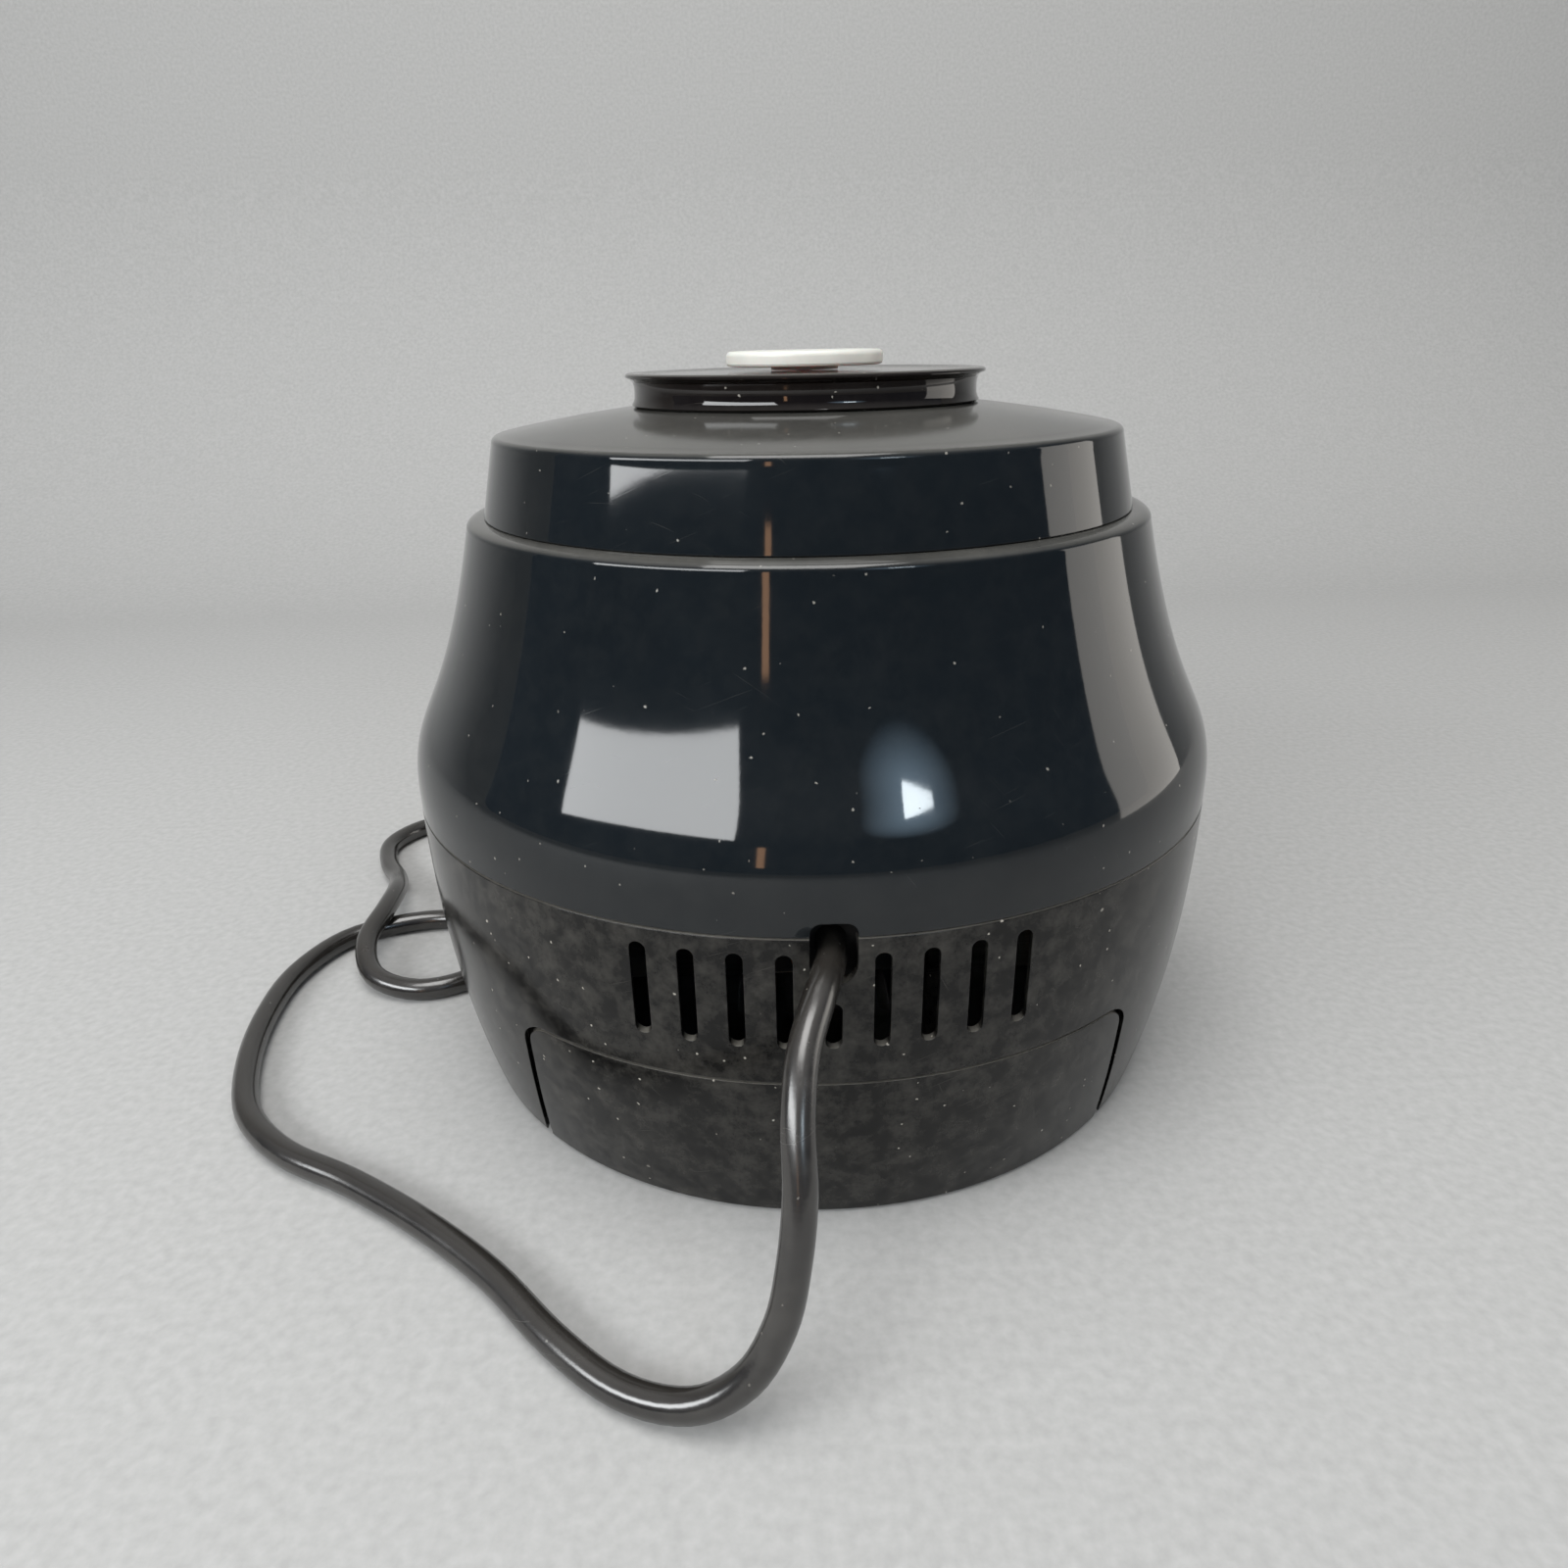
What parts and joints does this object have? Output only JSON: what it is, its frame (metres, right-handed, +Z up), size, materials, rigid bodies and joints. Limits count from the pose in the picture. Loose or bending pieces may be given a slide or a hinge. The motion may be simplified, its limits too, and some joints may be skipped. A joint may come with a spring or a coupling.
{
  "type": "rotisserie oven",
  "caption": "Round countertop rotisserie oven: flared black body with a sliding front door, rear vents, drip drawer, warming lid with grip disc, and a mains lead.",
  "frame": {"origin": "on the floor under the middle of the round body", "axes": "+Z up; door, drawer and controls face -Y; vents and mains lead face +Y; spit motor on the +X side"},
  "size_m": [0.3919, 0.4269, 0.2643],
  "materials": {
    "gloss_black": "gloss black moulding, dusty and finely scratched",
    "base_black": "gloss black moulding, slightly duller than the shoulder",
    "panel_black": "satin black",
    "disc_smoke": "smoked brown-black, polished",
    "cap_white": "off-white satin",
    "knob_black": "satin black",
    "handle_black": "satin black heat-resistant",
    "liner_steel": "aluminised sheet steel",
    "bezel_dark": "satin dark grey",
    "reflector": "bright rolled sheet",
    "element_sheath": "heat-darkened sheath",
    "ceramic_white": "unglazed",
    "track_black": "low-friction moulding",
    "zinc_sheet": "galvanised sheet",
    "screw_steel": "bright zinc plate",
    "motor_can": "zinc-plated can",
    "phenolic": "cream phenolic",
    "lamp_amber": "clear amber lens",
    "nylon_natural": "natural nylon",
    "wire_sleeve": "heat-resistant sleeve",
    "clamp_black": "black nylon",
    "window_glass": "smoked tempered glass",
    "pan_enamel": "black non-stick enamel",
    "spit_chrome": "bright chrome plate",
    "tray_aluminium": "satin pressed aluminium",
    "rubber_black": "moulded rubber",
    "cord_black": "semi-gloss cord jacket",
    "plug_black": "moulded plug",
    "pin_brass": "nickel-plated brass"
  },
  "bodies": {
    "root": {"base_housing": "base_black", "upper_housing": "gloss_black", "bottom_plate": "zinc_sheet", "rubber_feet": "rubber_black", "rear_cover": "base_black", "control_panel": "panel_black", "housing_screws": "screw_steel", "chamber_liner": "liner_steel", "chamber_bezel": "bezel_dark", "rear_reflector": "reflector", "heating_element": "element_sheath", "element_holders": "ceramic_white", "element_bushes": "ceramic_white", "door_track_lower": "track_black", "door_track_upper": "track_black", "tray_rails": "zinc_sheet", "spit_bearing": "nylon_natural", "gear_motor": "motor_can", "motor_bracket": "zinc_sheet", "motor_screws": "screw_steel", "timer_body": "phenolic", "thermostat_body": "phenolic", "power_lamp": "lamp_amber", "terminal_block": "nylon_natural", "thermal_cutout": "zinc_sheet", "cord_clamp": "clamp_black", "mains_wires": "wire_sleeve", "power_cord": "cord_black", "plug_body": "plug_black", "plug_pins": "pin_brass"},
    "door": {"door_frame": "gloss_black", "door_glass": "window_glass", "door_handle": "handle_black", "handle_screws": "screw_steel"},
    "drip_drawer": {"drip_pan": "pan_enamel", "drawer_front": "base_black"},
    "spit": {"spit_rod": "spit_chrome", "fork_left": "spit_chrome", "fork_right": "spit_chrome", "thumb_screws": "spit_chrome", "drive_socket": "screw_steel"},
    "timer_dial": {"timer_knob": "knob_black", "timer_shaft": "screw_steel"},
    "heat_dial": {"heat_knob": "knob_black", "heat_shaft": "screw_steel"},
    "bun_tray": {"warming_tray": "tray_aluminium"},
    "lid": {"lid_shell": "gloss_black", "lid_liner": "tray_aluminium", "grip_disc": "disc_smoke", "disc_screws": "screw_steel"},
    "vent_dial": {"vent_cap": "cap_white", "vent_spindle": "screw_steel"}
  },
  "joints": [
    {"name": "door_turn", "type": "hinge", "parent": "root", "child": "door", "pos_m": [0, 0, 0.14], "axis": [0, 0, -1], "range_deg": [0, 88]},
    {"name": "drawer_slide", "type": "slide", "parent": "root", "child": "drip_drawer", "axis": [0, -1, 0], "range_m": [0, 0.15]},
    {"name": "spit_turn", "type": "hinge", "parent": "root", "child": "spit", "pos_m": [0, 0, 0.132], "axis": [1, 0, 0], "continuous": true},
    {"name": "timer_turn", "type": "hinge", "parent": "root", "child": "timer_dial", "pos_m": [-0.036, -0.13, 0.032], "axis": [0, 1, 0], "range_deg": [0, 300]},
    {"name": "heat_turn", "type": "hinge", "parent": "root", "child": "heat_dial", "pos_m": [0.036, -0.13, 0.032], "axis": [0, 1, 0], "range_deg": [0, 270]},
    {"name": "tray_lift", "type": "slide", "parent": "root", "child": "bun_tray", "axis": [0, 0, 1], "range_m": [0, 0.06]},
    {"name": "lid_lift", "type": "slide", "parent": "bun_tray", "child": "lid", "axis": [0, 0, 1], "range_m": [0, 0.08]},
    {"name": "vent_turn", "type": "hinge", "parent": "lid", "child": "vent_dial", "pos_m": [0, 0, 0.26], "axis": [0, 0, 1], "range_deg": [0, 90]}
  ]
}
